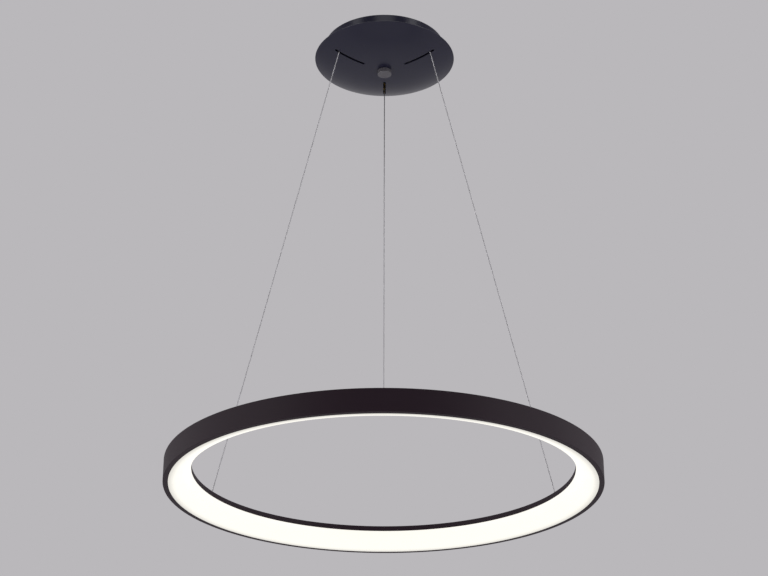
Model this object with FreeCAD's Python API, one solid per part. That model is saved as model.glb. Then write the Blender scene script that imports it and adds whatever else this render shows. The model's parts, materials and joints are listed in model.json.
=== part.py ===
import FreeCAD, Part
import math
import os

# A ring pendant light: a flat aluminium ring with an opal diffuser hangs on three
# steel wires from a round ceiling canopy that holds the LED driver.
# All lengths are millimetres. The ceiling is z = 0 and the lamp hangs below it, with
# +X to the right and +Y away from the viewer. The origin is the centre of the
# mounting plate's ceiling face.

Vec = FreeCAD.Vector
UP = Vec(0, 0, 1)
FULL_TURN = 360.0

# Whole lamp
drop = 711.0            # ceiling to the ring's lower edge
wire_azimuths_canopy = (330.0, 210.0, 90.0)    # where wires 1, 2 and 3 leave the canopy
wire_azimuths_ring = (30.0, 150.0, 270.0)      # where they meet the ring

# Clearances and overruns
seat_gap = 0.3          # between parts of different bodies, or under a curved seat
fit_gap = 0.1           # around a screw, spigot or inlay in its hole
thread_gap = 0.08       # radial, a running thread
overrun = 1.0           # how far a cutter passes a face

# Canopy cup, the drum against the ceiling
cup_wall = 1.2
cup_flange_width = 17.2
cup_edge_round = 0.5

# Canopy cover, the shallow dish under the cup
cover_overhang = 14.8       # how far the cover reaches past the cup
cover_wall = 1.5
cover_rim_depth = 20.5      # ceiling to the rim's upper side
cover_bowl_depth = 18.5     # rim's lower side to the flat middle
cover_hole_gap = 0.5
slot_width = 4.0
slot_length = 51.5
slot_inset = 5.2            # cup's outside to a slot's outer end
wire_inset = 12.2           # cup's outside to where a wire crosses the cover

# Mounting plate
plate_wall = 1.5
plate_step_gap = 2.0        # the plate's step to the cup's flange
plate_brim_gap = 2.0        # the plate's brim to the cup's wall
ceiling_bolt_spacing = 120.0
ceiling_bolt_hole = 2.75

# Centre stud, its nut and the knob that carries the cover
stud_radius = 4.0
stud_flange_radius = 7.0
stud_flange_height = 1.5
nut_flats = 13.0
nut_height = 5.0
knob_radius = 10.5
knob_height = 7.0
knob_face_wall = 1.5
knob_edge = 0.5

# Wires
wire_radius = 0.75
wire_bore = 1.0
wire_bend_radius = 7.5
wire_bend_offset = 2.2      # from a nozzle's mouth to the middle of the bend
wire_top_inset = 0.5        # from the gripper's seat down to the wire's end

# Wire grippers and their release sleeves
gripper_radius = 4.5
gripper_length = 14.0
gripper_flats = 10.0
gripper_hex_height = 3.0
gripper_spigot_radius = 2.9
gripper_chamber_radius = 3.2
gripper_chamber_roof = 3.0
sleeve_radius = 3.1
sleeve_travel = 2.0
sleeve_head_room = 0.5
sleeve_throat = 3.0         # gripper's mouth to the collar, at rest
sleeve_collar_radius = 4.0
sleeve_collar_height = 5.0

# LED driver
driver_length = 78.0
driver_width = 30.0
driver_height = 20.0
driver_wall = 1.5
driver_corner_gap = 1.435   # the case's far corners to the plate's step
stud_to_driver = 27.0
driver_round = 1.5
driver_plug = 2.0           # how deep the lid's rim goes into the case
driver_plug_wall = 1.2
ear_length = 8.0
ear_width = 9.0
driver_screw_radius = 1.5
driver_screw_head = 3.0
driver_screw_head_height = 2.0
board_wall = 1.6
board_depth = 13.0          # case roof to the board
core_size = (18.0, 16.0, 11.0)
capacitor_radius = 4.0
capacitor_length = 10.0
capacitor_places = (-26.0, -16.0, 20.0)
core_place = 2.0

# Terminal block, earth screw and cable grommet
block_length = 40.0
block_width = 14.0
block_height = 14.0
block_front = 22.0
pole_pitch = 12.0
pole_bore = 1.7
pole_screw_radius = 1.8
pole_screw_length = 4.0
pole_screw_slot = 0.6
fixing_radius = 1.25
fixing_head = 2.2
fixing_head_height = 1.5
fixing_sink = 3.0
earth_place = (-38.0, 28.0)
earth_radius = 2.0
earth_head = 4.0
earth_head_height = 2.5
earth_washer_radius = 5.5
earth_washer_wall = 0.8
grommet_place = (38.0, 28.0)
grommet_bore = 4.0
grommet_barrel = 7.9
grommet_flange = 10.0
grommet_flange_height = 2.0
grommet_tail = 2.5

# Leads inside the canopy
lead_radius = 1.0
lead_level = 9.0            # plate to the leads
lead_sag = 3.0
lead_bow = 4.0
lead_straight = 7.0         # straight run outside a hole before the first bend
lead_inside = 1.0           # how far a lead reaches in behind the case's wall
lead_bend_radius = 18.0

# Ring housing, a rolled aluminium channel that opens inwards and down
ring_radius = 300.0
ring_height = 31.0
ring_wall = 2.0
ring_width = 37.4
ring_skirt_height = 7.5
ring_skirt_wall = 1.8
ring_lip = 7.2
ring_lip_wall = 1.6
ring_edge_round = 0.6

# Diffuser, a curved opal strip between the lip and the skirt
diffuser_wall = 2.0
diffuser_tab_wall = 1.5
diffuser_tab_height = 4.0
diffuser_rise = 23.3

# LED strip on the inside of the ring's outer wall
strip_height = 10.0
strip_wall = 0.6
strip_level = 10.0          # ring's lower edge to the strip
chip_count = 120
chip_length = 3.5
chip_width = 2.8
chip_wall = 0.8

# Wire anchors in the ring's top wall
anchor_inset = 10.0         # ring's outside to an anchor
bush_flange_radius = 5.0
bush_flange_height = 1.2
bush_shank_radius = 3.0
bush_shank_length = 6.0
bush_edge_round = 0.4
anchor_nut_flats = 8.0
anchor_nut_height = 2.4
ferrule_radius = 2.2
ferrule_length = 5.0
strip_lead_radius = 0.6

# Radii and places that follow from the sizes above; the driver sets the canopy's width
driver_front = -stud_to_driver
driver_back = driver_front - driver_width
plate_step_inner = math.hypot(driver_length / 2, driver_back) + driver_corner_gap
plate_step_radius = plate_step_inner + plate_wall
cup_flange_inner = plate_step_radius + plate_step_gap
cup_radius = cup_flange_inner + cup_flange_width
plate_brim_radius = cup_radius - cup_wall - plate_brim_gap
cover_radius = cup_radius + cover_overhang
slot_outer = cup_radius - slot_inset
slot_inner = slot_outer - slot_length
wire_exit_radius = cup_radius - wire_inset
anchor_radius = ring_radius - anchor_inset

# Levels that follow from the sizes above
plate_under = -plate_wall
brim_top = -cup_wall - seat_gap
brim_under = brim_top - plate_wall
bowl_radius = cover_radius - cover_wall / 2
gripper_mouth = brim_under - gripper_length
sleeve_collar_top = gripper_mouth - sleeve_throat
sleeve_mouth = sleeve_collar_top - sleeve_collar_height
ring_bottom = -drop
ring_top = ring_bottom + ring_height
ring_roof = ring_top - ring_wall
bush_top = ring_top + bush_flange_height
bush_bottom = bush_top - bush_flange_height - bush_shank_length
ferrule_top = bush_bottom
lead_z = plate_under - lead_level


def polar(radius, azimuth, z=0):
    """Point at a radius and an azimuth in degrees about the lamp's axis."""
    angle = math.radians(azimuth)
    return Vec(radius * math.cos(angle), radius * math.sin(angle), z)


def save(name, shape):
    """Write one sub-part to its STEP file."""
    shape.exportStep(os.path.join("parts", name + ".step"))


def outline(points):
    """Face in the XZ plane through (radius, z) points."""
    corners = [Vec(r, 0, z) for r, z in points]
    return Part.Face(Part.makePolygon(corners + corners[:1]))


def turned(face):
    """Solid of revolution about the lamp's axis."""
    return face.revolve(Vec(0, 0, 0), UP, FULL_TURN)


def post(radius, x, y, z_low, z_high):
    """Upright cylinder between two levels."""
    return Part.makeCylinder(radius, z_high - z_low, Vec(x, y, z_low), UP)


def block(x_low, x_high, y_low, y_high, z_low, z_high):
    """Box between its corners."""
    return Part.makeBox(x_high - x_low, y_high - y_low, z_high - z_low, Vec(x_low, y_low, z_low))


def hexagon(flats, x, y, z_low, z_high):
    """Upright hexagonal prism from its width across flats."""
    corner = flats / math.sqrt(3)
    points = [polar(corner, FULL_TURN * i / 6) + Vec(x, y, z_low) for i in range(7)]
    return Part.Face(Part.makePolygon(points)).extrude(Vec(0, 0, z_high - z_low))


def rounded(shape, radius, picked):
    """Fillet on the edges for which picked(edge) is true."""
    return shape.makeFillet(radius, [edge for edge in shape.Edges if picked(edge)])


def at_level(edge, z):
    """Whether an edge lies flat at a level."""
    box = edge.BoundBox
    return abs(box.ZMin - z) < fit_gap / 2 and abs(box.ZMax - z) < fit_gap / 2


def wide(edge, radius):
    """Whether an edge is a circle of that radius."""
    return hasattr(edge.Curve, "Radius") and abs(edge.Curve.Radius - radius) < fit_gap / 2


def tube(path, start, direction, radius):
    """Round rod swept along a path of lines and tangent arcs."""
    ring = Part.Wire(Part.Circle(start, direction, radius).toShape())
    return path.makePipeShell([ring], True, False)


def rounded_path(points, radius):
    """Wire through points, with a tangent arc of one radius at each inner point."""
    edges = []
    last = points[0]
    for before, corner, after in zip(points, points[1:], points[2:]):
        inward = (corner - before).normalize()
        outward = (after - corner).normalize()
        turn = inward.getAngle(outward)
        leg = radius * math.tan(turn / 2)
        arc_start = corner - inward * leg
        arc_end = corner + outward * leg
        towards = (outward - inward).normalize()
        arc_middle = corner + towards * (radius / math.cos(turn / 2) - radius)
        edges.append(Part.LineSegment(last, arc_start).toShape())
        edges.append(Part.Arc(arc_start, arc_middle, arc_end).toShape())
        last = arc_end
    edges.append(Part.LineSegment(last, points[-1]).toShape())
    return Part.Wire(edges)


def cover_outer(radius):
    """Level of the cover's lower surface at a radius: a cubic dish, flat in the middle."""
    return -cover_rim_depth - cover_wall - cover_bowl_depth * (1 - (radius / bowl_radius) ** 3)


def wire_places(index):
    """The wire's gripper axis, its slot crossing and its ring anchor, as three points."""
    crossing = polar(wire_exit_radius, wire_azimuths_canopy[index])
    crossing.z = cover_outer(wire_exit_radius) + cover_wall / 2
    anchor = polar(anchor_radius, wire_azimuths_ring[index], bush_top + wire_bend_offset)
    bend_z = sleeve_mouth - wire_bend_offset
    share = (bend_z - crossing.z) / (crossing.z - anchor.z)
    gripper = crossing + (crossing - anchor) * share
    return gripper, crossing, anchor


# Canopy


def canopy_cup():
    """Drum with an inward flange that the plate's brim clamps to the ceiling."""
    bottom = cover_outer(cup_radius) + cover_wall + seat_gap
    inner = cup_radius - cup_wall
    cup = turned(outline([
        (cup_flange_inner, 0), (cup_radius, 0), (cup_radius, bottom),
        (inner, bottom), (inner, -cup_wall), (cup_flange_inner, -cup_wall),
    ]))
    return rounded(cup, cup_edge_round, lambda e: at_level(e, 0) and wide(e, cup_radius))


def dish_curve(lift):
    """Cubic outline of the cover, lifted by a distance."""
    middle = cover_outer(0) + lift
    curve = Part.BezierCurve()
    curve.setPoles([
        Vec(0, 0, middle), Vec(bowl_radius / 3, 0, middle), Vec(bowl_radius * 2 / 3, 0, middle),
        Vec(bowl_radius, 0, cover_outer(bowl_radius) + lift),
    ])
    return curve.toShape()


def canopy_cover():
    """Dish with a rounded rim, three radial slots for the wires and a hole for the stud."""
    rim_low = cover_outer(bowl_radius)
    rim_arc = Part.Arc(
        Vec(bowl_radius, 0, rim_low),
        Vec(cover_radius, 0, rim_low + cover_wall / 2),
        Vec(bowl_radius, 0, rim_low + cover_wall),
    ).toShape()
    middle = cover_outer(0)
    axis_line = Part.makeLine(Vec(0, 0, middle + cover_wall), Vec(0, 0, middle))
    edges = [dish_curve(0), rim_arc, dish_curve(cover_wall), axis_line]
    dish = turned(Part.Face(Part.Wire(Part.__sortEdges__(edges))))
    z_low = middle - overrun
    z_high = -cover_rim_depth + overrun
    dish = dish.cut(post(stud_radius + cover_hole_gap, 0, 0, z_low, z_high))
    half = slot_width / 2
    for azimuth in wire_azimuths_canopy:
        slot = block(slot_inner + half, slot_outer - half, -half, half, z_low, z_high)
        slot = slot.fuse(post(half, slot_inner + half, 0, z_low, z_high))
        slot = slot.fuse(post(half, slot_outer - half, 0, z_low, z_high))
        slot.rotate(Vec(0, 0, 0), UP, azimuth)
        dish = dish.cut(slot)
    return dish


def driver_middle():
    """y of the driver's long centre line."""
    return driver_front - driver_width / 2


def driver_screw_places():
    """Centres of the two screws through the driver's ears."""
    x = driver_length / 2 + ear_length / 2
    return [(-x, driver_middle()), (x, driver_middle())]


def terminal_fixing_places():
    """Centres of the two screws that hold the terminal block, between its poles."""
    y = block_front + block_width / 2
    return [(-pole_pitch / 2, y), (pole_pitch / 2, y)]


def mounting_plate():
    """Pressed steel plate whose stepped brim clamps the cup and carries the grippers."""
    plate = turned(outline([
        (0, 0), (plate_step_radius, 0), (plate_step_radius, brim_top),
        (plate_brim_radius, brim_top), (plate_brim_radius, brim_under),
        (plate_step_inner, brim_under), (plate_step_inner, plate_under), (0, plate_under),
    ]))
    holes = [(ceiling_bolt_hole, -ceiling_bolt_spacing / 2, 0)]
    holes += [(ceiling_bolt_hole, ceiling_bolt_spacing / 2, 0)]
    holes += [(grommet_barrel + fit_gap, *grommet_place)]
    holes += [(earth_radius + fit_gap, *earth_place)]
    holes += [(driver_screw_radius + fit_gap, x, y) for x, y in driver_screw_places()]
    holes += [(fixing_radius + fit_gap, x, y) for x, y in terminal_fixing_places()]
    for index in range(len(wire_azimuths_canopy)):
        gripper = wire_places(index)[0]
        holes.append((gripper_spigot_radius + fit_gap, gripper.x, gripper.y))
    for radius, x, y in holes:
        plate = plate.cut(post(radius, x, y, brim_under - overrun, overrun))
    return plate


def knob_levels():
    """Lower and upper level of the knob."""
    top = cover_outer(0) - seat_gap
    return top - knob_height, top


def center_stud():
    """Threaded stud, welded to the plate by its flange; its end stops inside the knob."""
    end = knob_levels()[0] + knob_face_wall + seat_gap
    flange = post(stud_flange_radius, 0, 0, plate_under - stud_flange_height, plate_under)
    return flange.fuse(post(stud_radius, 0, 0, end, plate_under))


def stud_nut():
    """Hexagon nut on the stud that sets how far up the cover goes."""
    low = cover_outer(0) + cover_wall + seat_gap
    nut = hexagon(nut_flats, 0, 0, low, low + nut_height)
    bore = post(stud_radius + thread_gap, 0, 0, low - overrun, low + nut_height + overrun)
    return nut.cut(bore)


def canopy_knob():
    """Round knob, threaded on the stud, that holds the cover up."""
    low, high = knob_levels()
    knob = post(knob_radius, 0, 0, low, high)
    knob = knob.makeChamfer(knob_edge, [e for e in knob.Edges if wide(e, knob_radius)])
    bore = post(stud_radius + thread_gap, 0, 0, low + knob_face_wall, high + overrun)
    return knob.cut(bore)


def gripper_body(index):
    """Brass wire gripper: hexagon, barrel, a chamber for the sleeve and a side exit."""
    axis = wire_places(index)[0]
    x, y = axis.x, axis.y
    hex_low = brim_under - gripper_hex_height
    body = hexagon(gripper_flats, x, y, hex_low, brim_under)
    body = body.fuse(post(gripper_radius, x, y, gripper_mouth, brim_under))
    body = body.fuse(post(gripper_spigot_radius, x, y, brim_under, brim_top))
    roof = brim_under - gripper_chamber_roof
    body = body.cut(post(gripper_chamber_radius, x, y, gripper_mouth - overrun, roof))
    body = body.cut(post(wire_bore, x, y, roof - overrun, brim_top + overrun))
    exit_z = brim_under - gripper_hex_height / 2
    inward = Vec(-x, -y, 0).normalize()
    side_exit = Part.makeCylinder(wire_bore, gripper_flats, Vec(x, y, exit_z), inward)
    return body.cut(side_exit)


def release_sleeve(index):
    """Sleeve that frees the wire when it is pushed up into the gripper."""
    axis = wire_places(index)[0]
    x, y = axis.x, axis.y
    top = brim_under - gripper_chamber_roof - sleeve_travel - sleeve_head_room
    sleeve = post(sleeve_radius, x, y, sleeve_collar_top, top)
    sleeve = sleeve.fuse(post(sleeve_collar_radius, x, y, sleeve_mouth, sleeve_collar_top))
    return sleeve.cut(post(wire_bore, x, y, sleeve_mouth - overrun, top + overrun))


def suspension_wire(index):
    """Steel wire from inside its gripper, through the cover's slot, to its ferrule."""
    gripper, _, anchor = wire_places(index)
    top = Vec(gripper.x, gripper.y, brim_under - wire_top_inset)
    end = Vec(anchor.x, anchor.y, ferrule_top - ferrule_length / 2)
    path = rounded_path([top, gripper, anchor, end], wire_bend_radius)
    wire = tube(path, top, Vec(0, 0, -1), wire_radius)
    expected = math.pi * wire_radius ** 2 * path.Length
    print("wire", index + 1, "length", round(path.Length, 1), "bends", wire_bend_radius,
          "volume over section times length", round(wire.Volume / expected, 4))
    return wire


# LED driver


def driver_levels():
    """Upper and lower level of the driver with its lid."""
    top = plate_under - fit_gap
    return top, top - driver_height


def upright(edge):
    """Whether an edge is a straight upright one."""
    box = edge.BoundBox
    return box.ZLength > max(box.XLength, box.YLength) and not hasattr(edge.Curve, "Radius")


def driver_case():
    """Open case with two ears that hold it to the plate."""
    top, bottom = driver_levels()
    low = bottom + driver_wall
    half = driver_length / 2
    case = block(-half, half, driver_back, driver_front, low, top)
    case = rounded(case, driver_round, upright)
    inner = half - driver_wall
    case = case.cut(block(-inner, inner, driver_back + driver_wall, driver_front - driver_wall,
                          low - overrun, top - driver_wall))
    for x, y in driver_screw_places():
        ear = block(x - ear_length / 2, x + ear_length / 2, y - ear_width / 2, y + ear_width / 2,
                    top - driver_wall, top)
        ear = ear.cut(post(driver_screw_radius + fit_gap, x, y, low, top + overrun))
        case = case.fuse(ear)
    hole_length = driver_wall + 2 * overrun
    for side in (-1, 1):
        front = Vec(side * pole_pitch, driver_front - driver_wall - overrun, lead_z)
        case = case.cut(Part.makeCylinder(lead_radius + fit_gap, hole_length, front, Vec(0, 1, 0)))
        end = Vec(side * (half + overrun), driver_middle(), lead_z)
        case = case.cut(Part.makeCylinder(lead_radius + fit_gap, hole_length, end, Vec(-side, 0, 0)))
    return case.removeSplitter()


def driver_lid():
    """Lid with a rim that plugs into the case."""
    bottom = driver_levels()[1]
    top = bottom + driver_wall
    half = driver_length / 2
    lid = rounded(block(-half, half, driver_back, driver_front, bottom, top), driver_round, upright)
    outer = driver_wall + fit_gap
    inner = outer + driver_plug_wall
    rim = block(-half + outer, half - outer, driver_back + outer, driver_front - outer,
                top, top + driver_plug)
    rim = rim.cut(block(-half + inner, half - inner, driver_back + inner, driver_front - inner,
                        top, top + driver_plug))
    return lid.fuse(rim)


def board_levels():
    """Lower and upper level of the driver's circuit board."""
    top = driver_levels()[0] - driver_wall - board_depth
    return top - board_wall, top


def driver_board():
    """Circuit board across the case."""
    low, high = board_levels()
    inset = driver_wall + fit_gap
    half = driver_length / 2 - inset
    return block(-half, half, driver_back + inset, driver_front - inset, low, high)


def driver_parts():
    """Transformer core and capacitors that stand on the board."""
    high = board_levels()[1]
    y = driver_middle()
    length, width, height = core_size
    x_low = core_place - length / 2
    solids = [block(x_low, x_low + length, y - width / 2, y + width / 2, high, high + height)]
    for x in capacitor_places:
        solids.append(post(capacitor_radius, x, y, high, high + capacitor_length))
    return Part.makeCompound(solids)


def screw_up(radius, head_radius, head_height, x, y, seat, top):
    """Screw driven upwards: its head hangs under the seat and its shank ends at top."""
    head = post(head_radius, x, y, seat - head_height, seat)
    return head.fuse(post(radius, x, y, seat, top))


def driver_screws():
    """Two screws through the driver's ears into the plate."""
    seat = driver_levels()[0] - driver_wall
    top = -fit_gap
    return Part.makeCompound([
        screw_up(driver_screw_radius, driver_screw_head, driver_screw_head_height, x, y, seat, top)
        for x, y in driver_screw_places()
    ])


# Terminal block, earth screw and grommet


def pole_places():
    """x of the block's three poles."""
    return [-pole_pitch, 0, pole_pitch]


def block_levels():
    """Lower and upper level of the terminal block."""
    top = plate_under - fit_gap
    return top - block_height, top


def terminal_block():
    """Three-pole block with a bore and a screw hole for each pole."""
    low, high = block_levels()
    half = block_length / 2
    body = block(-half, half, block_front, block_front + block_width, low, high)
    middle = block_front + block_width / 2
    for x in pole_places():
        start = Vec(x, block_front - overrun, lead_z)
        length = block_width + 2 * overrun
        body = body.cut(Part.makeCylinder(pole_bore, length, start, Vec(0, 1, 0)))
        body = body.cut(post(pole_screw_radius + fit_gap, x, middle, low - overrun, lead_z))
    for x, y in terminal_fixing_places():
        body = body.cut(post(fixing_radius + fit_gap, x, y, low - overrun, high + overrun))
        sink_top = low + fixing_sink
        body = body.cut(post(fixing_head + fit_gap, x, y, low - overrun, sink_top))
    return body


def terminal_screws():
    """One slotted clamping screw in each pole."""
    low = block_levels()[0]
    middle = block_front + block_width / 2
    solids = []
    for x in pole_places():
        screw = post(pole_screw_radius, x, middle, low, low + pole_screw_length)
        half = pole_screw_slot / 2
        slot = block(x - half, x + half, middle - pole_screw_radius - overrun,
                     middle + pole_screw_radius + overrun, low - overrun, low + pole_screw_slot)
        solids.append(screw.cut(slot))
    return Part.makeCompound(solids)


def terminal_fixings():
    """Two screws that hold the block to the plate."""
    seat = block_levels()[0] + fixing_sink
    return Part.makeCompound([
        screw_up(fixing_radius, fixing_head, fixing_head_height, x, y, seat, -fit_gap)
        for x, y in terminal_fixing_places()
    ])


def earth_washer():
    """Washer under the earth screw's head."""
    x, y = earth_place
    low = plate_under - earth_washer_wall
    washer = post(earth_washer_radius, x, y, low, plate_under)
    return washer.cut(post(earth_radius + fit_gap, x, y, low - overrun, plate_under + overrun))


def earth_screw():
    """Screw for the protective earth."""
    x, y = earth_place
    seat = plate_under - earth_washer_wall
    return screw_up(earth_radius, earth_head, earth_head_height, x, y, seat, -fit_gap)


def grommet_low():
    """Level of the grommet's lower end."""
    return plate_under - grommet_flange_height - grommet_tail


def cable_grommet():
    """Rubber grommet for the supply cable, flanged under the plate."""
    x, y = grommet_place
    flange_low = plate_under - grommet_flange_height
    body = post(grommet_barrel, x, y, grommet_low(), -fit_gap)
    body = body.fuse(post(grommet_flange, x, y, flange_low, plate_under))
    return body.cut(post(grommet_bore, x, y, grommet_low() - overrun, overrun))


def input_lead(side):
    """Lead from an outer pole of the block, past the stud, into the driver."""
    x = side * pole_pitch
    bow = Vec(x + side * lead_bow, (block_front + driver_front) / 2, lead_z - lead_sag)
    points = [
        Vec(x, block_front + overrun, lead_z), Vec(x, block_front - lead_straight, lead_z), bow,
        Vec(x, driver_front + lead_straight, lead_z),
        Vec(x, driver_front - driver_wall - lead_inside, lead_z),
    ]
    return tube(rounded_path(points, lead_bend_radius), points[0], Vec(0, -1, 0), lead_radius)


def output_lead(index):
    """Lead from the driver's end to the gripper that feeds its wire."""
    gripper = wire_places(index)[0]
    side = math.copysign(1, gripper.x)
    half = driver_length / 2
    start = Vec(side * (half - driver_wall - lead_inside), driver_middle(), lead_z)
    corner = Vec(side * (half + lead_straight), driver_middle(), lead_z)
    end = Vec(gripper.x - side * (gripper_radius + 2 * seat_gap), gripper.y, lead_z - lead_sag)
    path = rounded_path([start, corner, end], lead_bend_radius)
    return tube(path, start, Vec(side, 0, 0), lead_radius)


# Ring


def ring_housing():
    """Channel of the ring: outer wall, top, inner skirt and the lip under the diffuser."""
    inner = ring_radius - ring_width
    skirt_inside = inner + ring_skirt_wall
    skirt_low = ring_top - ring_skirt_height
    wall_inside = ring_radius - ring_wall
    lip_inside = ring_radius - ring_lip
    lip_top = ring_bottom + ring_lip_wall
    housing = turned(outline([
        (ring_radius, ring_bottom), (ring_radius, ring_top), (inner, ring_top),
        (inner, skirt_low), (skirt_inside, skirt_low), (skirt_inside, ring_roof),
        (wall_inside, ring_roof), (wall_inside, lip_top), (lip_inside, lip_top),
        (lip_inside, ring_bottom),
    ]))
    housing = rounded(housing, ring_edge_round, lambda e: wide(e, ring_radius) or (
        wide(e, inner) and at_level(e, ring_top)))
    for azimuth in wire_azimuths_ring:
        place = polar(anchor_radius, azimuth)
        hole = post(bush_shank_radius + fit_gap, place.x, place.y, ring_roof - overrun, ring_top + overrun)
        housing = housing.cut(hole)
    return housing


def ellipse_arc(radius_r, radius_z, start, end):
    """Arc of an ellipse about the diffuser's centre, between two points of it."""
    centre = Vec(ring_radius - ring_lip, 0, ring_bottom + diffuser_rise)
    curve = Part.Ellipse(centre + Vec(-radius_r, 0, 0), centre + Vec(0, 0, -radius_z), centre)
    first, last = sorted(curve.parameter(point) for point in (start, end))
    return curve.toShape(first, last)


def diffuser():
    """Opal strip: a quarter ellipse outside, with a tab over the lip and one behind the skirt."""
    centre_r = ring_radius - ring_lip
    centre_z = ring_bottom + diffuser_rise
    outer_r = ring_width - ring_lip
    outer_z = diffuser_rise
    skirt_face = ring_radius - ring_width + ring_skirt_wall + fit_gap
    tab_back = skirt_face + diffuser_tab_wall
    lip_edge = centre_r - fit_gap
    lip_top = ring_bottom + ring_lip_wall + fit_gap
    tab_end = ring_radius - ring_wall - fit_gap
    inner_r = outer_r - diffuser_wall
    inner_z = outer_z - diffuser_wall
    tab_foot = centre_z - inner_z * math.sqrt(1 - ((centre_r - tab_back) / inner_r) ** 2)
    lip_back = lip_edge - diffuser_tab_wall
    lip_foot = centre_z - inner_z * math.sqrt(1 - ((centre_r - lip_back) / inner_r) ** 2)
    outer_foot = centre_z - outer_z * math.sqrt(1 - ((centre_r - lip_edge) / outer_r) ** 2)
    outer_start = Vec(lip_edge, 0, outer_foot)
    outer_end = Vec(centre_r - outer_r, 0, centre_z)
    inner_start = Vec(tab_back, 0, tab_foot)
    inner_end = Vec(lip_back, 0, lip_foot)
    ledge = [
        outer_end, Vec(skirt_face, 0, centre_z), Vec(skirt_face, 0, centre_z + diffuser_tab_height),
        Vec(tab_back, 0, centre_z + diffuser_tab_height), inner_start,
    ]
    foot = [
        inner_end, Vec(lip_back, 0, lip_top + diffuser_tab_wall),
        Vec(tab_end, 0, lip_top + diffuser_tab_wall), Vec(tab_end, 0, lip_top),
        Vec(lip_edge, 0, lip_top), outer_start,
    ]
    edges = [ellipse_arc(outer_r, outer_z, outer_start, outer_end)]
    edges += Part.makePolygon(ledge).Edges
    edges.append(ellipse_arc(inner_r, inner_z, inner_start, inner_end))
    edges += Part.makePolygon(foot).Edges
    return turned(Part.Face(Part.Wire(Part.__sortEdges__(edges))))


def strip_radii():
    """Inner and outer radius of the LED strip."""
    outer = ring_radius - ring_wall - fit_gap
    return outer - strip_wall, outer


def led_strip():
    """Circuit strip on the inside of the outer wall."""
    inner, outer = strip_radii()
    low = ring_bottom + strip_level
    high = low + strip_height
    return turned(outline([(inner, low), (outer, low), (outer, high), (inner, high)]))


def led_chips():
    """LED packages in a row on the strip."""
    inner = strip_radii()[0]
    middle = ring_bottom + strip_level + strip_height / 2
    reach = math.sqrt(inner ** 2 - (chip_length / 2) ** 2)
    solids = []
    for i in range(chip_count):
        chip = block(reach - chip_wall, reach, -chip_length / 2, chip_length / 2,
                     middle - chip_width / 2, middle + chip_width / 2)
        chip.rotate(Vec(0, 0, 0), UP, FULL_TURN * (i + 1 / 2) / chip_count)
        solids.append(chip)
    return Part.makeCompound(solids)


def anchor_place(index):
    """x and y of an anchor."""
    place = polar(anchor_radius, wire_azimuths_ring[index])
    return place.x, place.y


def anchor_bush(index):
    """Flanged bush through the ring's top wall, bored for the wire."""
    x, y = anchor_place(index)
    bush = post(bush_flange_radius, x, y, ring_top, bush_top)
    bush = rounded(bush, bush_edge_round, lambda e: at_level(e, bush_top))
    bush = bush.fuse(post(bush_shank_radius, x, y, bush_bottom, ring_top))
    return bush.cut(post(wire_bore, x, y, bush_bottom - overrun, bush_top + overrun))


def anchor_nut(index):
    """Nut that holds the bush under the top wall."""
    x, y = anchor_place(index)
    nut = hexagon(anchor_nut_flats, x, y, ring_roof - anchor_nut_height, ring_roof)
    bore = bush_shank_radius + thread_gap
    return nut.cut(post(bore, x, y, ring_roof - anchor_nut_height - overrun, ring_roof + overrun))


def wire_ferrule(index):
    """Crimped stop on the wire's end, under the bush."""
    x, y = anchor_place(index)
    ferrule = post(ferrule_radius, x, y, ferrule_top - ferrule_length, ferrule_top)
    return ferrule.cut(post(wire_radius, x, y, ferrule_top - ferrule_length / 2, ferrule_top + overrun))


def strip_leads():
    """Leads from the two feeding ferrules to the LED strip."""
    z = ferrule_top - ferrule_length * 3 / 4
    solids = []
    for azimuth in wire_azimuths_ring[:2]:
        start = polar(anchor_radius + ferrule_radius + fit_gap, azimuth, z)
        end = polar(strip_radii()[0] - fit_gap, azimuth, z)
        direction = end - start
        solids.append(Part.makeCylinder(strip_lead_radius, direction.Length, start, direction))
    return Part.makeCompound(solids)


def build():
    """Make every sub-part and write it."""
    os.makedirs("parts", exist_ok=True)
    singles = (
        mounting_plate, canopy_cup, canopy_cover, center_stud, stud_nut, canopy_knob,
        driver_case, driver_lid, driver_board, driver_parts, driver_screws,
        terminal_block, terminal_screws, terminal_fixings, earth_washer, earth_screw,
        cable_grommet, ring_housing, diffuser, led_strip, led_chips, strip_leads,
    )
    for make in singles:
        save(make.__name__, make())
    per_wire = (gripper_body, release_sleeve, suspension_wire, anchor_bush, anchor_nut, wire_ferrule)
    for make in per_wire:
        for index in range(len(wire_azimuths_canopy)):
            save(f"{make.__name__}_{index + 1}", make(index))
    save("lead_live", input_lead(1))
    save("lead_neutral", input_lead(-1))
    save("lead_output_1", output_lead(0))
    save("lead_output_2", output_lead(1))


build()
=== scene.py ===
"""Looks of a ring pendant light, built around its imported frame.

A satin black canopy on the ceiling carries three twisted steel wires, and these carry a
matt black ring with a lit opal diffuser. Lengths are metres in the frame's own axes: the
ceiling is z = 0, the lamp hangs below it, and the viewer stands towards -Y.
"""
import json
import logging
import math
from dataclasses import dataclass
from enum import Enum
from typing import Callable, Sequence

import bpy
from mathutils import Matrix, Vector


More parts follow.
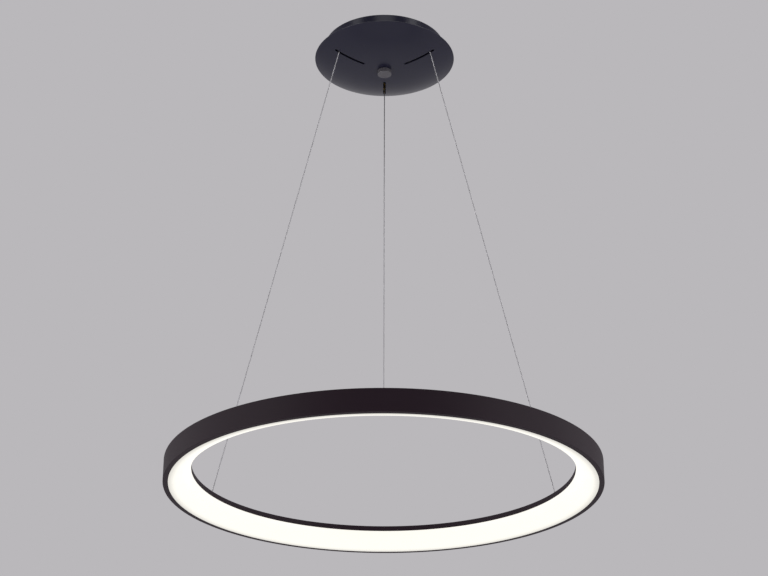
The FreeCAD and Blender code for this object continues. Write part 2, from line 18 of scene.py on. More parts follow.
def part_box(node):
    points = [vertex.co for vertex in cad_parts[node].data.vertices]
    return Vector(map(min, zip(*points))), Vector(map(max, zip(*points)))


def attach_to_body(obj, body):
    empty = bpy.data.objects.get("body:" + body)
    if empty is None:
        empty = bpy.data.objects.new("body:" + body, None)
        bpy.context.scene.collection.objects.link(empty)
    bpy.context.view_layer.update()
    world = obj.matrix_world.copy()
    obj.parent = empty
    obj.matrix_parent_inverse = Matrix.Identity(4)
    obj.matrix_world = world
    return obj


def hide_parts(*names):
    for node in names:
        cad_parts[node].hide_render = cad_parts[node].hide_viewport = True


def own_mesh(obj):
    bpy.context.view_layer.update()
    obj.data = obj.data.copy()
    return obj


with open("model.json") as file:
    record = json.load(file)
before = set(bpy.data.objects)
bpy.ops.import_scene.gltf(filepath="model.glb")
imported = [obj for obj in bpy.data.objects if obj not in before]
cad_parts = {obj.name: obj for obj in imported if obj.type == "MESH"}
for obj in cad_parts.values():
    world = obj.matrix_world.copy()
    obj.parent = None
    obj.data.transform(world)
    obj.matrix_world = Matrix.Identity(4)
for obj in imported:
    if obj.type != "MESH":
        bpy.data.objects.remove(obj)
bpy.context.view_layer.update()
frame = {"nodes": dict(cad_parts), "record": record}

log = logging.getLogger("pendant")
MM = 0.001
WELD = 0.001 * MM
ROUNDED_ABOVE = 32
SHARP_ABOVE = 38
PHOTO_WIDTH = 768
Colour = tuple[float, float, float]
Point = tuple[float, float, float]
Outline = list[tuple[float, float]]


class Body(str, Enum):
    """The frame's bodies that new pieces ride on."""

    CANOPY = "canopy"
    KNOB = "knob"
    RING = "ring"


# Shader building


class Value:
    """A shader number whose Python operators add Math nodes."""

    def __init__(self, graph: "Graph", socket: bpy.types.NodeSocket) -> None:
        """Wrap one output socket of a graph."""
        self.graph = graph
        self.socket = socket

    def _math(self, operation: str, first: "Value | float", second: "Value | float") -> "Value":
        """Add one Math node.

        Args:
            operation: The node's operation.
            first: Its first operand.
            second: Its second operand.

        Returns:
            The node's result.
        """
        return self.graph.value("ShaderNodeMath", {"operation": operation}, {0: first, 1: second})

    def __add__(self, other: "Value | float") -> "Value":
        """Sum."""
        return self._math("ADD", self, other)

    __radd__ = __add__

    def __mul__(self, other: "Value | float") -> "Value":
        """Product."""
        return self._math("MULTIPLY", self, other)

    __rmul__ = __mul__

    def __sub__(self, other: "Value | float") -> "Value":
        """Difference."""
        return self._math("SUBTRACT", self, other)

    def __rsub__(self, other: "Value | float") -> "Value":
        """Difference from a number."""
        return self._math("SUBTRACT", other, self)

    def __pow__(self, other: "Value | float") -> "Value":
        """Power."""
        return self._math("POWER", self, other)


class Graph:
    """The node tree of one material, with its Principled shader."""

    def __init__(self, name: str) -> None:
        """Start a material with that name."""
        self.material = bpy.data.materials.new(name)
        self.material.use_nodes = True
        self.tree = self.material.node_tree
        self.shader = self.tree.nodes["Principled BSDF"]
        self.place = self.node("ShaderNodeTexCoord").outputs["Object"]

    def node(self, kind: str, settings: dict | None = None, inputs: dict | None = None) -> bpy.types.Node:
        """Add a node.

        Args:
            kind: The node's type.
            settings: Properties that are set first, such as an operation.
            inputs: Values or links by socket name or number.

        Returns:
            The new node.
        """
        node = self.tree.nodes.new(kind)
        for key, value in (settings or {}).items():
            setattr(node, key, value)
        for key, value in (inputs or {}).items():
            self.feed(node.inputs[key], value)
        return node

    def value(self, kind: str, settings: dict | None = None, inputs: dict | None = None,
              output: str | int = 0) -> Value:
        """Add a node as node() does, and wrap one of its outputs."""
        return Value(self, self.node(kind, settings, inputs).outputs[output])

    def feed(self, socket: bpy.types.NodeSocket, value: object) -> None:
        """Link a wrapped value or a socket to a socket, or set a constant on it."""
        if isinstance(value, Value):
            value = value.socket
        if isinstance(value, bpy.types.NodeSocket):
            self.tree.links.new(value, socket)
        else:
            socket.default_value = value

    def surface(self, **inputs: object) -> None:
        """Feed the Principled shader; underscores in the names stand for spaces."""
        for key, value in inputs.items():
            if key in ("Base_Color", "Emission_Color") and isinstance(value, tuple):
                value = (*value, 1.0)
            self.feed(self.shader.inputs[key.replace("_", " ")], value)

    def noise(self, size: float, detail: float = 2.0, stretch: Point = (1.0, 1.0, 1.0)) -> Value:
        """Noise from 0 to 1 on the piece.

        Args:
            size: Width of its blotches in metres.
            detail: Octaves of finer noise.
            stretch: Scale of the pattern along each axis.

        Returns:
            The noise's strength.
        """
        mapping = self.node("ShaderNodeMapping", None, {"Vector": self.place, "Scale": stretch})
        inputs = {"Vector": mapping.outputs[0], "Scale": 1 / size, "Detail": detail}
        return self.value("ShaderNodeTexNoise", None, inputs)

    def mix(self, factor: Value, low: Colour, high: Colour) -> bpy.types.NodeSocket:
        """Blend two colours by a factor."""
        node = self.node("ShaderNodeMix", {"data_type": "RGBA"}, {"Factor": factor})
        node.inputs["A"].default_value = (*low, 1.0)
        node.inputs["B"].default_value = (*high, 1.0)
        return node.outputs["Result"]

    def clamp(self, value: Value) -> Value:
        """Keep a value between 0 and 1."""
        return self.value("ShaderNodeClamp", None, {"Value": value})

    def bump(self, height: Value, depth: float, strength: float = 1.0) -> bpy.types.NodeSocket:
        """Normal of a surface raised by a height pattern of a depth in metres."""
        inputs = {"Height": height, "Distance": depth, "Strength": strength}
        return self.node("ShaderNodeBump", None, inputs).outputs[0]


def scaled(colour: Colour, factor: float) -> Colour:
    """A colour made lighter or darker."""
    return tuple(channel * factor for channel in colour)


# Finishes


@dataclass(frozen=True)
class PowderCoat:
    """Baked powder paint: fine grain, a little mottling and a dry or satin sheen."""

    colour: Colour
    roughness: float
    grain: float = 0.45 * MM
    depth: float = 0.02 * MM
    cloud: float = 60 * MM
    mottling: float = 0.12
    sheen: float = 0.5
    cloud_dulling: float = 0.08
    grain_dulling: float = 0.06

    def material(self, name: str) -> bpy.types.Material:
        """Build the paint."""
        graph = Graph(name)
        cloud = graph.noise(self.cloud, 3.0)
        grain = graph.noise(self.grain, 3.0)
        dark = scaled(self.colour, 1 - self.mottling)
        light = scaled(self.colour, 1 + self.mottling)
        tint = graph.mix(cloud, dark, light)
        rough = self.roughness + (cloud - 0.5) * self.cloud_dulling + (grain - 0.5) * self.grain_dulling
        graph.surface(Base_Color=tint, Roughness=graph.clamp(rough), Specular_IOR_Level=self.sheen,
                      Normal=graph.bump(grain, self.depth))
        return graph.material


@dataclass(frozen=True)
class Metal:
    """Plated or turned metal with fine marks and duller patches."""

    colour: Colour
    roughness: float
    mark: float = 0.2 * MM
    stretch: Point = (1.0, 1.0, 1.0)
    depth: float = 0.004 * MM
    cloud: float = 14 * MM
    dulling: float = 0.2
    cloud_roughness: float = 0.1
    mark_roughness: float = 0.12

    def material(self, name: str) -> bpy.types.Material:
        """Build the metal."""
        graph = Graph(name)
        cloud = graph.noise(self.cloud, 3.0)
        marks = graph.noise(self.mark, 2.0, self.stretch)
        tint = graph.mix(cloud, scaled(self.colour, 1 - self.dulling), self.colour)
        rough = self.roughness + cloud * self.cloud_roughness + (marks - 0.5) * self.mark_roughness
        graph.surface(Base_Color=tint, Metallic=1.0, Roughness=graph.clamp(rough),
                      Normal=graph.bump(marks, self.depth))
        return graph.material


@dataclass(frozen=True)
class Moulded:
    """Moulded plastic or rubber with a faint spark-eroded grain."""

    colour: Colour
    roughness: float = 0.45
    grain: float = 0.3 * MM
    depth: float = 0.01 * MM
    cloud: float = 20 * MM
    shade: float = 0.94
    grain_roughness: float = 0.1

    def material(self, name: str) -> bpy.types.Material:
        """Build the plastic."""
        graph = Graph(name)
        cloud = graph.noise(self.cloud)
        grain = graph.noise(self.grain)
        tint = graph.mix(cloud, scaled(self.colour, self.shade), self.colour)
        rough = self.roughness + (grain - 0.5) * self.grain_roughness
        graph.surface(Base_Color=tint, Roughness=graph.clamp(rough),
                      Normal=graph.bump(grain, self.depth))
        return graph.material


@dataclass(frozen=True)
class LitOpal:
    """Opal plastic lit from behind, a little dimmer down by the lip."""

    colour: Colour
    glow: Colour
    strength: float
    low: float
    high: float
    falloff: float = 0.35
    falloff_power: float = 60.0
    cloud: float = 45 * MM
    unevenness: float = 0.12
    roughness: float = 0.42
    grain: float = 0.5 * MM
    depth: float = 0.004 * MM

    def material(self, name: str) -> bpy.types.Material:
        """Build the glowing plastic."""
        graph = Graph(name)
        height = graph.value("ShaderNodeSeparateXYZ", None, {0: graph.place}, "Z")
        share = graph.clamp((height - self.low) * (1 / (self.high - self.low)))
        cloud = graph.noise(self.cloud)
        shade = graph.clamp((1 - share) ** self.falloff_power + (cloud - 0.5) * self.unevenness)
        glow = graph.mix(shade, self.glow, scaled(self.glow, 1 - self.falloff))
        graph.surface(Base_Color=self.colour, Roughness=self.roughness, Emission_Color=glow,
                      Emission_Strength=self.strength,
                      Normal=graph.bump(graph.noise(self.grain), self.depth))
        return graph.material


@dataclass(frozen=True)
class LedPackage:
    """Yellow phosphor of a lit LED package."""

    colour: Colour = (1.0, 0.78, 0.3)
    strength: float = 2.0
    roughness: float = 0.35
    speckle: float = 1.2 * MM
    shade: float = 0.85

    def material(self, name: str) -> bpy.types.Material:
        """Build the phosphor."""
        graph = Graph(name)
        spot = graph.noise(self.speckle)
        tint = graph.mix(spot, scaled(self.colour, self.shade), self.colour)
        graph.surface(Base_Color=tint, Roughness=self.roughness, Emission_Color=tint,
                      Emission_Strength=self.strength)
        return graph.material


Finish = PowderCoat | Metal | Moulded | LitOpal | LedPackage


def finishes() -> dict[str, Finish]:
    """The finish of each of the record's material slots."""
    low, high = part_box("diffuser")
    return {
        "canopy_paint": PowderCoat((0.012, 0.0115, 0.027), 0.3, depth=0.005 * MM, sheen=0.3),
        "ring_paint": PowderCoat((0.0165, 0.0078, 0.0137), 0.55, depth=0.006 * MM, sheen=0.18),
        "knob_paint": PowderCoat((0.08, 0.075, 0.086), 0.2, depth=0.002 * MM, mottling=0.05),
        "plate_steel": Metal((0.6, 0.61, 0.63), 0.4, mark=0.5 * MM, stretch=(1.0, 14.0, 1.0)),
        "zinc_steel": Metal((0.64, 0.65, 0.67), 0.32),
        "wire_steel": Metal((0.52, 0.51, 0.53), 0.5, mark=0.15 * MM, dulling=0.06),
        "brass": Metal((0.78, 0.58, 0.28), 0.26, stretch=(1.0, 1.0, 8.0)),
        "opal": LitOpal((0.2, 0.2, 0.19), (1.0, 0.972, 0.885), 0.89, low.z, high.z),
        "led": LedPackage(),
        "board": Moulded((0.78, 0.78, 0.75), 0.35, depth=0.004 * MM),
        "component": Moulded((0.02, 0.02, 0.022), 0.5),
        "driver_plastic": Moulded((0.76, 0.76, 0.74), 0.5),
        "terminal_plastic": Moulded((0.8, 0.78, 0.7), 0.4),
        "grommet_rubber": Moulded((0.012, 0.012, 0.012), 0.75, depth=0.03 * MM),
        "lead_brown": Moulded((0.09, 0.03, 0.012), 0.38),
        "lead_blue": Moulded((0.02, 0.07, 0.35), 0.38),
        "lead_sleeve": Moulded((0.7, 0.7, 0.68), 0.38),
    }


class Wardrobe:
    """Makes each slot's material once and hands it out."""

    def __init__(self) -> None:
        """Build every material."""
        self.materials = {slot: finish.material(slot) for slot, finish in finishes().items()}

    def dress(self, piece: bpy.types.Object, slot: str) -> None:
        """Give a piece one slot's material."""
        piece.data.materials.clear()
        piece.data.materials.append(self.materials[slot])

    def dress_frame(self) -> None:
        """Give every CAD node its slot's material."""
        for row in frame["record"]["subparts"]:
            self.dress(frame["nodes"][row["node"]], row["material_slot"])


# Modelling with Blender's operators


def deselect() -> None:
    """Deselect every object."""
    bpy.ops.object.select_all(action="DESELECT")


def only(piece: bpy.types.Object) -> None:
    """Select one object alone and make it active."""
    deselect()
    piece.select_set(True)
    bpy.context.view_layer.objects.active = piece


def apply_modifier(piece: bpy.types.Object, kind: str, **settings: object) -> None:
    """Add a modifier with settings and apply it at once."""
    only(piece)
    modifier = piece.modifiers.new(kind.lower(), kind)
    for key, value in settings.items():
        setattr(modifier, key, value)
    bpy.ops.object.modifier_apply(modifier=modifier.name)


def lathe(name: str, outline: Outline, segments: int, centre: tuple[float, float] = (0.0, 0.0),
          capped: bool = False) -> bpy.types.Object:
    """Turn an outline about an upright axis by extruding a circle from point to point.

    Args:
        name: The piece's name.
        outline: Points of (radius, z). A closed outline ends at its first point.
        segments: Faces round the axis.
        centre: The axis in plan.
        capped: Whether the first and last circle are closed by a face.

    Returns:
        The piece, with its place in its mesh.
    """
    deselect()
    radius, level = outline[0]
    fill = "NGON" if capped else "NOTHING"
    bpy.ops.mesh.primitive_circle_add(vertices=segments, radius=radius, fill_type=fill,
                                      location=(*centre, level))
    piece = bpy.context.object
    piece.name = name
    bpy.ops.object.mode_set(mode="EDIT")
    bpy.ops.mesh.select_all(action="SELECT")
    for next_radius, next_level in outline[1:]:
        bpy.ops.mesh.extrude_region_move(TRANSFORM_OT_translate={"value": (0, 0, next_level - level)})
        factor = next_radius / radius
        bpy.ops.transform.resize(value=(factor, factor, 1), center_override=(*centre, next_level))
        radius, level = next_radius, next_level
    bpy.ops.mesh.select_all(action="SELECT")
    bpy.ops.mesh.remove_doubles(threshold=WELD)
    bpy.ops.mesh.normals_make_consistent(inside=False)
    bpy.ops.object.mode_set(mode="OBJECT")
    bpy.ops.object.transform_apply(location=True, rotation=True, scale=True)
    return piece


def select_edges(piece: bpy.types.Object, wanted: Callable[[Vector, Vector], bool]) -> None:
    """Go into edit mode with the edges selected whose two ends meet a condition."""
    only(piece)
    bpy.ops.object.mode_set(mode="EDIT")
    bpy.ops.mesh.select_mode(type="EDGE")
    bpy.ops.mesh.select_all(action="DESELECT")
    bpy.ops.object.mode_set(mode="OBJECT")
    places = [vertex.co for vertex in piece.data.vertices]
    for edge in piece.data.edges:
        edge.select = wanted(places[edge.vertices[0]], places[edge.vertices[1]])
    bpy.ops.object.mode_set(mode="EDIT")


def cut(piece: bpy.types.Object, cutter: bpy.types.Object) -> None:
    """Take a cutter's shape out of a piece and remove the cutter."""
    apply_modifier(piece, "BOOLEAN", operation="DIFFERENCE", object=cutter, solver="EXACT")
    bpy.data.objects.remove(cutter)


def finish_edges(piece: bpy.types.Object, width: float, steps: int = 3) -> None:
    """Round the sharp edges of a piece and shade it smooth, with its flats kept flat."""
    apply_modifier(piece, "BEVEL", width=width, segments=steps, limit_method="ANGLE",
                   angle_limit=math.radians(ROUNDED_ABOVE))
    smooth(piece)


def smooth(piece: bpy.types.Object) -> None:
    """Shade smooth up to an angle, and weight the normals by face area."""
    only(piece)
    bpy.ops.object.shade_smooth_by_angle(angle=math.radians(SHARP_ABOVE))
    apply_modifier(piece, "WEIGHTED_NORMAL", keep_sharp=True)


def triangles(piece: bpy.types.Object) -> int:
    """How many triangles a piece has."""
    piece.data.calc_loop_triangles()
    return len(piece.data.loop_triangles)


@dataclass
class SubAssembly:
    """What every sub-assembly shares: how a made piece joins the frame."""

    wardrobe: Wardrobe

    def join(self, piece: bpy.types.Object, body: Body | str, slot: str, *nodes: str) -> None:
        """Dress a piece, let it ride on a body and stand for its CAD nodes."""
        self.wardrobe.dress(piece, slot)
        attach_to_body(piece, body.value if isinstance(body, Body) else body)
        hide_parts(*nodes)
        log.info("%s: %d triangles", piece.name, triangles(piece))


# Canopy


@dataclass
class Canopy(SubAssembly):
    """The drum against the ceiling, the dish under it and its knob."""

    cup_wall: float = 1.2 * MM
    cup_flange: float = 17.2 * MM
    cup_edge: float = 0.35 * MM
    dish_wall: float = 1.5 * MM
    dish_steps: int = 28
    dish_power: float = 3.0
    dish_hole: float = 4.5 * MM
    rim_steps: int = 8
    slot_width: float = 4.0 * MM
    slot_length: float = 51.5 * MM
    slot_end: float = 20.0 * MM
    slot_azimuths: tuple[float, float, float] = (330.0, 210.0, 90.0)
    slot_end_steps: int = 10
    slot_end_share: float = 0.999
    knob_bore: float = 4.08 * MM
    knob_face: float = 1.5 * MM
    knob_dimple: float = 0.35 * MM
    knob_middle: float = 0.2 * MM
    knob_edge: float = 0.8 * MM
    dimple_slope_share: float = 0.62
    dimple_share: float = 0.8
    segments: int = 224
    knob_segments: int = 96

    def build(self) -> None:
        """Make the three turned pieces."""
        self.build_cup()
        self.build_dish()
        self.build_knob()

    def build_cup(self) -> None:
        """Drum with its inward flange."""
        low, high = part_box("canopy_cup")
        radius, wall = high.x, self.cup_wall
        inner, flange = radius - wall, radius - self.cup_flange
        outline = [(flange, high.z), (radius, high.z), (radius, low.z), (inner, low.z),
                   (inner, high.z - wall), (flange, high.z - wall), (flange, high.z)]
        cup = lathe("canopy_drum", outline, self.segments)
        finish_edges(cup, self.cup_edge)
        self.join(cup, Body.CANOPY, "canopy_paint", "canopy_cup")

    def build_dish(self) -> None:
        """Shallow dish: a cubic bowl with a rolled rim, three slots and a middle hole."""
        low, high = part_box("canopy_cover")
        wall = self.dish_wall
        bowl = high.x - wall / 2
        depth = high.z - low.z - wall
        shares = [i / self.dish_steps for i in range(self.dish_steps + 1)]
        hole = self.dish_hole / bowl
        radii = [bowl * (hole + (1 - hole) * share) for share in shares]
        under = [(radius, low.z + depth * (radius / bowl) ** self.dish_power) for radius in radii]
        turns = [math.pi * i / self.rim_steps for i in range(1, self.rim_steps)]
        rim = [(bowl + wall / 2 * math.sin(turn), high.z - wall / 2 - wall / 2 * math.cos(turn))
               for turn in turns]
        above = [(radius, level + wall) for radius, level in reversed(under)]
        dish = lathe("canopy_dish", under + rim + above + under[:1], self.segments)
        for azimuth in self.slot_azimuths:
            cut(dish, self.slot_cutter(high.x, low.z, high.z, azimuth))
        smooth(dish)
        self.join(dish, Body.CANOPY, "canopy_paint", "canopy_cover")

    def slot_cutter(self, radius: float, low: float, high: float, azimuth: float) -> bpy.types.Object:
        """Round-ended bar where a slot goes.

        Args:
            radius: The dish's outer radius.
            low: Its lowest level.
            high: Its highest level.
            azimuth: The slot's direction in degrees.

        Returns:
            The cutter.
        """
        deselect()
        half = self.slot_width / 2
        outer = radius - self.slot_end
        middle = outer - self.slot_length / 2
        bpy.ops.mesh.primitive_cube_add(size=1, location=(middle, 0, (high + low) / 2),
                                        scale=(self.slot_length, self.slot_width, 2 * (high - low)))
        cutter = bpy.context.object
        bpy.ops.object.transform_apply(location=True, rotation=True, scale=True)
        select_edges(cutter, lambda first, second: abs(first.z - second.z) > high - low)
        bpy.ops.mesh.bevel(offset=half * self.slot_end_share, segments=self.slot_end_steps)
        bpy.ops.object.mode_set(mode="OBJECT")
        cutter.rotation_euler.z = math.radians(azimuth)
        bpy.ops.object.transform_apply(location=True, rotation=True, scale=True)
        return cutter

    def build_knob(self) -> None:
        """Turned knob with a dished face and a blind bore for the stud."""
        low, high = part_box("canopy_knob")
        radius = high.x
        outline = [
            (self.knob_middle, low.z + self.knob_dimple),
            (radius * self.dimple_slope_share, low.z + self.knob_dimple * 0.4),
            (radius * self.dimple_share, low.z), (radius, low.z), (radius, high.z),
            (self.knob_bore, high.z), (self.knob_bore, low.z + self.knob_face),
            (self.knob_middle, low.z + self.knob_face),
        ]
        knob = lathe("cover_knob", outline, self.knob_segments, capped=True)
        finish_edges(knob, self.knob_edge, 5)
        self.join(knob, Body.KNOB, "knob_paint", "canopy_knob")


# Wires


@dataclass
class SuspensionWire(SubAssembly):
    """One twisted steel wire from its gripper to its ferrule."""

    number: int
    strands: int = 6
    radius: float = 0.75 * MM
    lay: float = 11.0 * MM
    steps_per_lay: int = 9
    bend_offset: float = 2.2 * MM
    bend_reach: float = 1.9 * MM
    bend_steps: int = 6

    def route(self) -> list[Vector]:
        """The wire's end, its two bends and its other end."""
        sleeve_low, sleeve_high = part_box(f"release_sleeve_{self.number}")
        bush_low, bush_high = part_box(f"anchor_bush_{self.number}")
        wire_low, wire_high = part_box(f"suspension_wire_{self.number}")
        upper = (sleeve_low + sleeve_high) / 2
        lower = (bush_low + bush_high) / 2
        return [
            Vector((upper.x, upper.y, wire_high.z)),
            Vector((upper.x, upper.y, sleeve_low.z - self.bend_offset)),
            Vector((lower.x, lower.y, bush_high.z + self.bend_offset)),
            Vector((lower.x, lower.y, wire_low.z)),
        ]

    def centre_line(self) -> list[Vector]:
        """Closely spaced points along the route, with its two bends rounded."""
        ends = self.route()
        corners = []
        for before, corner, after in zip(ends, ends[1:], ends[2:]):
            into = corner + (before - corner).normalized() * self.bend_reach
            out = corner + (after - corner).normalized() * self.bend_reach
            for step in range(self.bend_steps + 1):
                share = step / self.bend_steps
                corners.append(into.lerp(corner, share).lerp(corner.lerp(out, share), share))
        points = [ends[0]]
        spacing = self.lay / self.steps_per_lay
        for target in corners + ends[-1:]:
            start = points[-1]
            count = max(1, round((target - start).length / spacing))
            points += [start.lerp(target, i / count) for i in range(1, count + 1)]
        return points

    def build(self) -> None:
        """Twist the outer strands round a straight core."""
        line = self.centre_line()
        span = line[-1] - line[0]
        side = Vector((span.y, -span.x, 0)).normalized()
        strand = self.radius / 3
        curve = bpy.data.curves.new(f"wire_{self.number}", "CURVE")
        curve.dimensions = "3D"
        curve.bevel_depth = strand
        curve.bevel_resolution = 1
        curve.use_fill_caps = True
        self.add_strand(curve, line)
        for index in range(self.strands):
            phase = 2 * math.pi * index / self.strands
            self.add_strand(curve, self.helix(line, side, 2 * strand, phase))
        wire = bpy.data.objects.new(f"wire_{self.number}", curve)
        bpy.context.scene.collection.objects.link(wire)
        only(wire)
        bpy.ops.object.convert(target="MESH")
        wire = bpy.context.object
        bpy.ops.object.shade_smooth()
        self.join(wire, Body.CANOPY, "wire_steel", f"suspension_wire_{self.number}")
        self.follow_height(wire)

    def helix(self, line: list[Vector], side: Vector, offset: float, phase: float) -> list[Vector]:
        """Points of one strand wound round the centre line.

        Args:
            line: Points of the centre line.
            side: Direction square to the plane that the line lies in.
            offset: Distance from the core's centre to the strand's.
            phase: Angle at which the strand starts.

        Returns:
            The strand's points.
        """
        points = []
        travelled = 0.0
        for index, point in enumerate(line):
            before = line[max(index - 1, 0)]
            after = line[min(index + 1, len(line) - 1)]
            travelled += (point - before).length
            front = side.cross((after - before).normalized())
            angle = phase + 2 * math.pi * travelled / self.lay
            points.append(point + (side * math.cos(angle) + front * math.sin(angle)) * offset)
        return points

    @staticmethod
    def add_strand(curve: bpy.types.Curve, points: list[Vector]) -> None:
        """Add one strand's line to a curve."""
        spline = curve.splines.new("POLY")
        spline.points.add(len(points) - 1)
        for target, point in zip(spline.points, points):
            target.co = (*point, 1.0)

    def follow_height(self, wire: bpy.types.Object) -> None:
        """Work out the share of the wire kept at the ring's full rise, and give the wire its own mesh."""
        joints = frame["record"]["behaviour"]["joints"]
        joint = next(row for row in joints if row["name"] == "height_adjust")
        travel = joint["range_m"][1]
        crossing = joint["deforming_nodes"][self.number - 1]["fixed_end_z_m"]
        attach = self.route()[2].z
        keep = 1 - travel / (crossing - attach)
        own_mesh(wire)


# Ring


@dataclass
class Ring(SubAssembly):
    """The black channel, the lit diffuser in it and the wires' bushes."""

    wall: float = 2.0 * MM
    width: float = 37.4 * MM
    skirt_height: float = 7.5 * MM
    skirt_wall: float = 1.8 * MM
    lip: float = 7.2 * MM
    lip_wall: float = 1.6 * MM
    edge: float = 0.6 * MM
    diffuser_rise: float = 23.3 * MM
    diffuser_wall: float = 2.0 * MM
    diffuser_edge: float = 0.15 * MM
    diffuser_steps: int = 24
    tab: float = 1.5 * MM
    tab_height: float = 4.0 * MM
    gap: float = 0.1 * MM
    segments: int = 288
    bush_segments: int = 40
    shank: float = 3.0 * MM
    bush_edge: float = 0.12 * MM
    wire_bore: float = 1.0 * MM

    def build(self) -> None:
        """Make the turned pieces."""
        self.build_channel()
        self.build_diffuser()
        for number in (1, 2, 3):
            self.build_bush(number)

    def build_channel(self) -> None:
        """Outer wall, top, skirt and lip as one rolled channel with three bush holes."""
        low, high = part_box("ring_housing")
        outer = high.x
        inner = outer - self.width
        roof = high.z - self.wall
        skirt_low = high.z - self.skirt_height
        lip_top = low.z + self.lip_wall
        outline = [
            (outer, low.z), (outer, high.z), (inner, high.z), (inner, skirt_low),
            (inner + self.skirt_wall, skirt_low), (inner + self.skirt_wall, roof),
            (outer - self.wall, roof), (outer - self.wall, lip_top),
            (outer - self.lip, lip_top), (outer - self.lip, low.z), (outer, low.z),
        ]
        channel = lathe("ring_channel", outline, self.segments)
        finish_edges(channel, self.edge)
        for number in (1, 2, 3):
            cut(channel, self.hole_cutter(number, roof, high.z))
        smooth(channel)
        self.join(channel, Body.RING, "ring_paint", "ring_housing")

    def hole_cutter(self, number: int, low: float, high: float) -> bpy.types.Object:
        """Round bar where a bush goes through the channel's top.

        Args:
            number: The bush's number.
            low: The top wall's lower face.
            high: Its upper face.

        Returns:
            The cutter.
        """
        deselect()
        place = self.bush_place(number)
        bpy.ops.mesh.primitive_cylinder_add(vertices=self.bush_segments, radius=self.shank + self.gap,
                                            depth=3 * (high - low),
                                            location=(place.x, place.y, (low + high) / 2))
        cutter = bpy.context.object
        bpy.ops.object.transform_apply(location=True, rotation=True, scale=True)
        return cutter

    @staticmethod
    def bush_place(number: int) -> Vector:
        """Centre of a bush."""
        low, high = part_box(f"anchor_bush_{number}")
        return (low + high) / 2

    def ellipse(self, centre: tuple[float, float], radii: tuple[float, float], start: float,
                stop: float) -> Outline:
        """Points on an ellipse between two radii from the lamp's axis, on its lower left quarter."""
        angles = [math.acos(min(1.0, (centre[0] - radius) / radii[0])) for radius in (start, stop)]
        steps = [angles[0] + (angles[1] - angles[0]) * i / self.diffuser_steps
                 for i in range(self.diffuser_steps + 1)]
        return [(centre[0] - radii[0] * math.cos(a), centre[1] - radii[1] * math.sin(a)) for a in steps]

    def build_diffuser(self) -> None:
        """Opal strip with a quarter-ellipse face and tabs behind the lip and the skirt."""
        low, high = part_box("ring_housing")
        outer = high.x
        centre = (outer - self.lip, low.z + self.diffuser_rise)
        face = (self.width - self.lip, self.diffuser_rise)
        back = (face[0] - self.diffuser_wall, face[1] - self.diffuser_wall)
        skirt_face = outer - self.width + self.skirt_wall + self.gap
        tab_back = skirt_face + self.tab
        tab_top = centre[1] + self.tab_height
        lip_edge = centre[0] - self.gap
        lip_back = lip_edge - self.tab
        lip_top = low.z + self.lip_wall + self.gap
        tab_end = outer - self.wall - self.gap
        outline = self.ellipse(centre, face, lip_edge, centre[0] - face[0])
        outline += [(skirt_face, centre[1]), (skirt_face, tab_top), (tab_back, tab_top)]
        outline += self.ellipse(centre, back, tab_back, lip_back)
        outline += [(lip_back, lip_top + self.tab), (tab_end, lip_top + self.tab), (tab_end, lip_top),
                    (lip_edge, lip_top), outline[0]]
        strip = lathe("opal_diffuser", outline, self.segments)
        finish_edges(strip, self.diffuser_edge, 2)
        self.join(strip, Body.RING, "opal", "diffuser")

    def build_bush(self, number: int) -> None:
        """Domed bush that a wire comes out of, with a flared mouth."""
        low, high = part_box(f"anchor_bush_{number}")
        centre = self.bush_place(number)
        radius = (high.x - low.x) / 2
        _, ring_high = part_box("ring_housing")
        seat = ring_high.z
        dome = high.z - seat
        outline = [
            (self.wire_bore, low.z), (self.shank, low.z), (self.shank, seat), (radius, seat),
            (radius, seat + dome * 0.35), (radius * 0.86, seat + dome * 0.75),
            (radius * 0.62, high.z), (self.wire_bore * 1.7, high.z),
            (self.wire_bore * 1.15, high.z - dome * 0.45), (self.wire_bore, high.z - dome),
            (self.wire_bore, low.z),
        ]
        bush = lathe(f"wire_bush_{number}", outline, self.bush_segments, (centre.x, centre.y))
        finish_edges(bush, self.bush_edge, 2)
        self.join(bush, Body.RING, "ring_paint", f"anchor_bush_{number}")


# Studio


@dataclass(frozen=True)
class Softbox:
    """A rectangular soft light that faces a point of the lamp."""

    name: str
    place: Point
    aim: Point
    size: tuple[float, float]
    watts: float
    tint: Colour = (1.0, 1.0, 1.0)

    def build(self) -> None:
        """Add the light."""
        data = bpy.data.lights.new(self.name, "AREA")
        data.shape = "RECTANGLE"
        data.size, data.size_y = self.size
        data.energy = self.watts
        data.color = self.tint
        light = bpy.data.objects.new(self.name, data)
        light.location = self.place
        facing = Vector(self.aim) - Vector(self.place)
        light.rotation_euler = facing.to_track_quat("-Z", "Y").to_euler()
        bpy.context.scene.collection.objects.link(light)


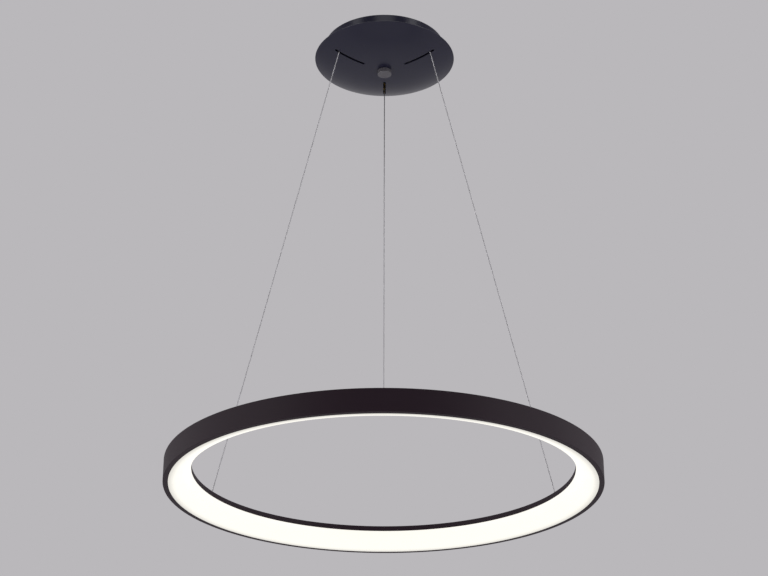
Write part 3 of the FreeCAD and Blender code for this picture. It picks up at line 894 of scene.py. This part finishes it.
@dataclass(frozen=True)
class Studio:
    """Plain grey surroundings, soft light from both sides and a pale floor."""

    backdrop: Colour = (0.491, 0.479, 0.497)
    light_behind_camera: float = 0.04
    light_behind_lamp: float = 1.0
    sky_strength: float = 1.0
    sky_spread: float = 60.0
    floor_level: float = -2.4
    floor_size: float = 14.0
    floor_dark: Colour = (0.76, 0.75, 0.77)
    floor_light: Colour = (0.8, 0.79, 0.81)
    floor_cloud: float = 0.8
    floor_roughness: float = 0.9
    camera_distance: float = 2.3043
    camera_level: float = -1.4794
    camera_pitch: float = 24.97
    camera_roll: float = 0.127
    focal_pixels: float = 1767.6
    sensor: float = 36.0

    def build(self) -> None:
        """Set up the camera, the surroundings, the floor and the lights."""
        self.build_camera()
        self.build_surroundings()
        self.build_floor()
        canopy = tuple(sum(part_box("canopy_cover"), Vector()) / 2)
        ring = tuple(sum(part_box("ring_housing"), Vector()) / 2)
        for softbox in (
            Softbox("upper_left", (-1.72, -1.25, 1.3), canopy, (0.6, 0.6), 3),
            Softbox("upper_right", (1.72, -1.25, 1.3), canopy, (0.6, 0.6), 4),
            Softbox("upper_front", (0.0, -3.0, 2.0), canopy, (1.8, 0.6), 10),
            Softbox("front_left", (-2.0, -1.37, -0.58), canopy, (1.0, 1.2), 16),
            Softbox("front_right", (2.0, -1.37, -0.58), canopy, (1.0, 1.2), 16),
            Softbox("side_left", (-2.6, 0.2, -0.5), ring, (3.0, 3.0), 19),
            Softbox("side_right", (2.6, 0.2, -0.5), ring, (3.0, 3.0), 19),
        ):
            softbox.build()
        self.build_sky()

    def build_camera(self) -> None:
        """Camera below the lamp that looks up at it, as in the photo."""
        data = bpy.data.cameras.new("photo_camera")
        data.sensor_width = self.sensor
        data.lens = self.focal_pixels * self.sensor / PHOTO_WIDTH
        data.clip_end = 100.0
        camera = bpy.data.objects.new("photo_camera", data)
        camera.location = (0.0, -self.camera_distance, self.camera_level)
        pitch = Matrix.Rotation(math.radians(90 + self.camera_pitch), 3, "X")
        roll = Matrix.Rotation(math.radians(self.camera_roll), 3, "Z")
        camera.rotation_euler = (pitch @ roll).to_euler()
        bpy.context.scene.collection.objects.link(camera)
        bpy.context.scene.camera = camera

    def build_surroundings(self) -> None:
        """Even grey to the camera; as a light, dim behind the camera and bright behind the lamp."""
        bpy.context.scene.view_settings.view_transform = "Standard"
        world = bpy.data.worlds.new("studio")
        bpy.context.scene.world = world
        world.use_nodes = True
        nodes, links = world.node_tree.nodes, world.node_tree.links
        background = nodes["Background"]
        background.inputs["Color"].default_value = (*self.backdrop, 1.0)
        direction = nodes.new("ShaderNodeSeparateXYZ")
        links.new(nodes.new("ShaderNodeTexCoord").outputs["Generated"], direction.inputs[0])
        glow = nodes.new("ShaderNodeMapRange")
        glow.inputs["From Min"].default_value = -1.0
        glow.inputs["To Min"].default_value = self.light_behind_camera
        glow.inputs["To Max"].default_value = self.light_behind_lamp
        links.new(direction.outputs["Y"], glow.inputs["Value"])
        strength = nodes.new("ShaderNodeMix")
        links.new(nodes.new("ShaderNodeLightPath").outputs["Is Camera Ray"], strength.inputs["Factor"])
        links.new(glow.outputs["Result"], strength.inputs["A"])
        strength.inputs["B"].default_value = 1.0
        links.new(strength.outputs["Result"], background.inputs["Strength"])

    def build_sky(self) -> None:
        """Very soft light from straight above, for the floor and the tops."""
        data = bpy.data.lights.new("sky", "SUN")
        data.energy = self.sky_strength
        data.angle = math.radians(self.sky_spread)
        sky = bpy.data.objects.new("sky", data)
        sky.location = (0.0, 0.0, 3.0)
        bpy.context.scene.collection.objects.link(sky)

    def build_floor(self) -> None:
        """Pale floor well below the lamp."""
        deselect()
        bpy.ops.mesh.primitive_plane_add(size=self.floor_size, location=(0, 0, self.floor_level))
        floor = bpy.context.object
        floor.name = "studio_floor"
        graph = Graph("studio_floor")
        tint = graph.mix(graph.noise(self.floor_cloud), self.floor_dark, self.floor_light)
        graph.surface(Base_Color=tint, Roughness=self.floor_roughness)
        floor.data.materials.append(graph.material)


def corners(box: Sequence) -> list[list[float]]:
    """A box's two corners as plain lists of numbers."""
    return [[float(value) for value in corner] for corner in box]


def main() -> None:
    """Build the studio and dress the lamp."""
    logging.basicConfig(level=logging.INFO, format="%(name)s %(message)s")
    Studio().build()
    wardrobe = Wardrobe()
    wardrobe.dress_frame()
    Canopy(wardrobe).build()
    for number in (1, 2, 3):
        SuspensionWire(wardrobe, number).build()
    Ring(wardrobe).build()


if __name__ == "__main__":
    main()
